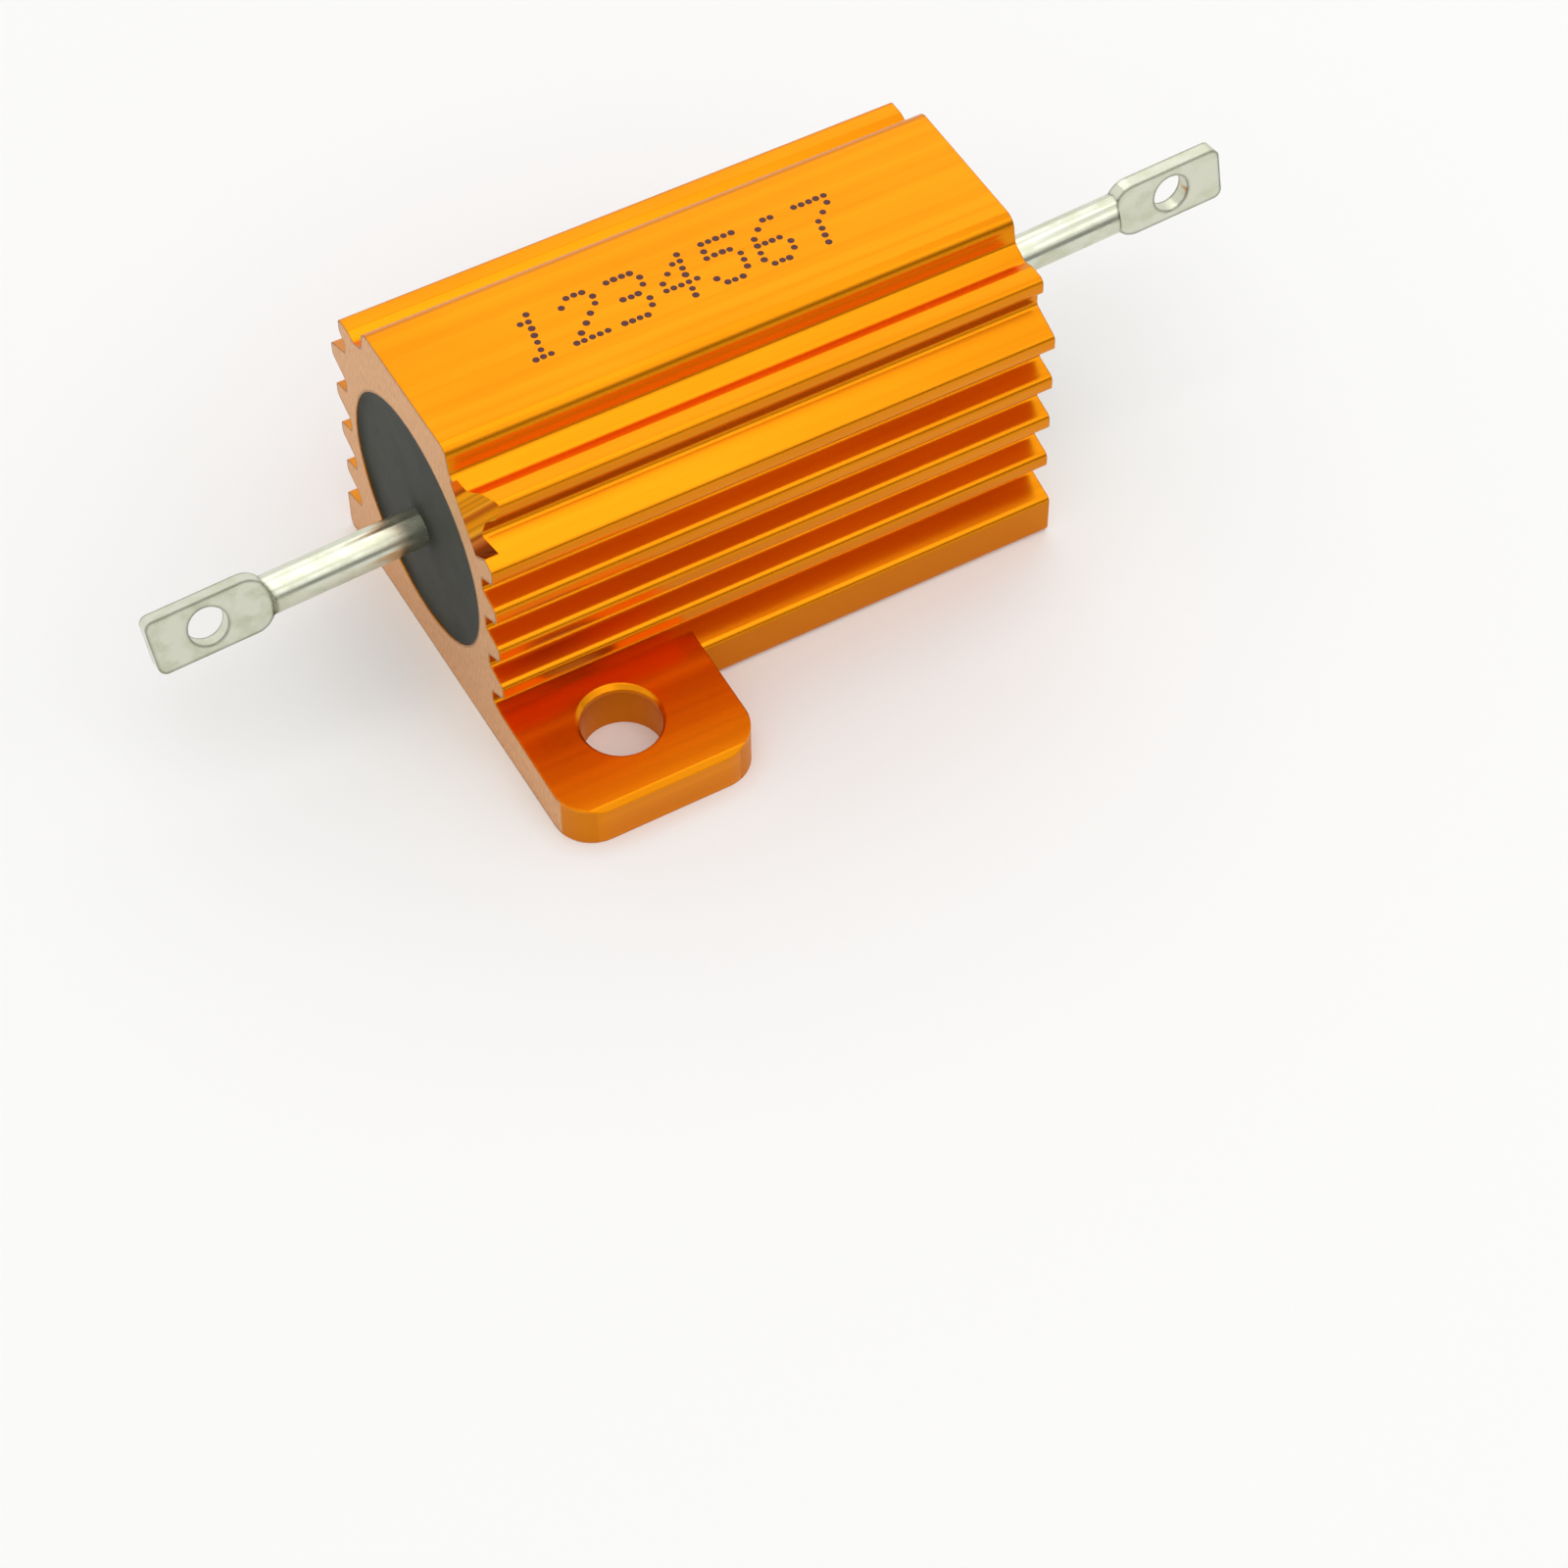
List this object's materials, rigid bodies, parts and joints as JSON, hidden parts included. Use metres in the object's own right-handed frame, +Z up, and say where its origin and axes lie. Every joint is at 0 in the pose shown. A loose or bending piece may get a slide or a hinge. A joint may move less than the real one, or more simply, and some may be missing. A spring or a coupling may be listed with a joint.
{
  "type": "aluminium housed power resistor",
  "caption": "Wirewound power resistor in a finned gold anodised aluminium housing, with two diagonal mounting tabs and a drilled solder lug at each end.",
  "frame": {"origin": "centre of the housing's base, on the mounting face", "axes": "+X along the bore and terminals, +Y across the tabs, +Z up from the mounting face"},
  "size_m": [0.053, 0.0274, 0.0159],
  "materials": {
    "anodised_aluminium": "gold anodised extrusion, drawn lines along its length, sawn ends",
    "casting_compound": "matt charcoal cement, cast in the bore",
    "ceramic": "unglazed alumina, fine pressed grain",
    "resistance_alloy": "drawn nickel alloy wire, oxidised grey brown",
    "cap_steel": "nickel plated pressed steel",
    "tinned_copper": "hot tinned wire, coined flat at its end"
  },
  "bodies": {
    "root": {"housing": "anodised_aluminium", "casting_compound": "casting_compound", "ceramic_core": "ceramic", "resistance_wire": "resistance_alloy", "end_cap_left": "cap_steel", "end_cap_right": "cap_steel", "terminal_left": "tinned_copper", "terminal_right": "tinned_copper"}
  },
  "joints": []
}
